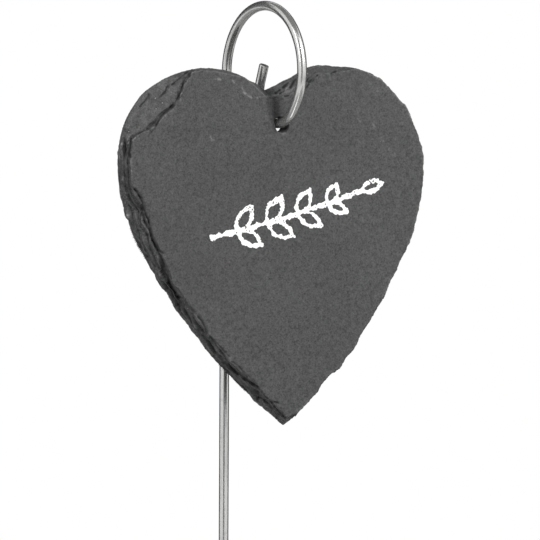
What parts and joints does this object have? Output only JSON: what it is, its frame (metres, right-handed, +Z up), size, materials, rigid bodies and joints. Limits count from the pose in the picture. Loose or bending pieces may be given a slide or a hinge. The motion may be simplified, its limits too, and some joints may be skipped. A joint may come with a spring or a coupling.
{
  "type": "plant label stake",
  "caption": "Bent wire stake with a round hanging ring at its top, and a heart-shaped slate label that swings from the ring by a drilled hole.",
  "frame": {"origin": "centre of the stake's cut lower end", "axes": "+Z up along the straight wire, the heart's written face looks along -Y, +X is that face's right hand as seen from the front"},
  "size_m": [0.0844, 0.0344, 0.28],
  "materials": {
    "steel_wire": "bright drawn steel wire with fine lengthwise draw marks",
    "slate": "matt split slate, dark grey with a fine grain and knapped edges"
  },
  "bodies": {
    "stake": {"wire_stake": "steel_wire"},
    "heart": {"slate_heart": "slate"}
  },
  "joints": [
    {"name": "heart_swing", "type": "hinge", "parent": "stake", "child": "heart", "pos_m": [0.00501, -0.02136, 0.24891], "axis": [0, 1, 0], "range_deg": [-54, 57]}
  ]
}
